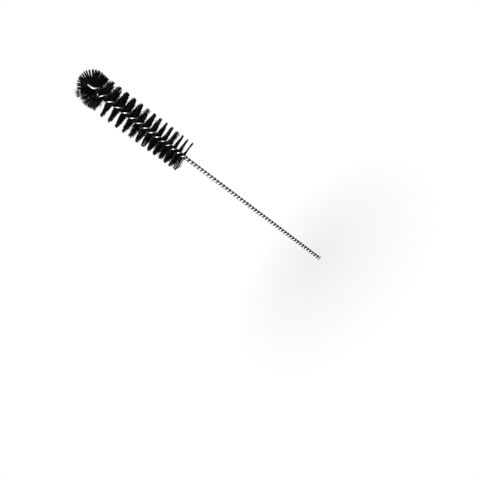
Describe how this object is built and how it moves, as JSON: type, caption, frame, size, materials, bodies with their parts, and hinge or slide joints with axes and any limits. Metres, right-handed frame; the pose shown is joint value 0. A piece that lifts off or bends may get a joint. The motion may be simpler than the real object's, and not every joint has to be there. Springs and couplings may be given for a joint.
{
  "type": "twisted wire brush",
  "caption": "Straight twisted-in-wire brush with a spiral of black bristles, a splayed tip and a bare twisted shank, for scrubbing valves and ports with a drill.",
  "frame": {"origin": "centre of the cut shank end, on the axis of the twist", "axes": "+Z along the axis, from the cut shank end to the bristled tip; the folded nose opens along X, so the bristles through it lie along X"},
  "size_m": [0.038, 0.038, 0.355],
  "materials": {
    "wire": "bright drawn steel wire, lightly galvanised",
    "bristle": "black crimp-free nylon filament, slightly glossy, cut ends paler"
  },
  "bodies": {
    "root": {"core_wire": "wire", "nose_fan": "bristle", "bristle_row_01": "bristle", "bristle_row_02": "bristle", "bristle_row_03": "bristle", "bristle_row_04": "bristle", "bristle_row_05": "bristle", "bristle_row_06": "bristle", "bristle_row_07": "bristle", "bristle_row_08": "bristle", "bristle_row_09": "bristle", "bristle_row_10": "bristle", "bristle_row_11": "bristle", "bristle_row_12": "bristle", "bristle_row_13": "bristle", "bristle_row_14": "bristle", "bristle_row_15": "bristle"}
  },
  "joints": []
}
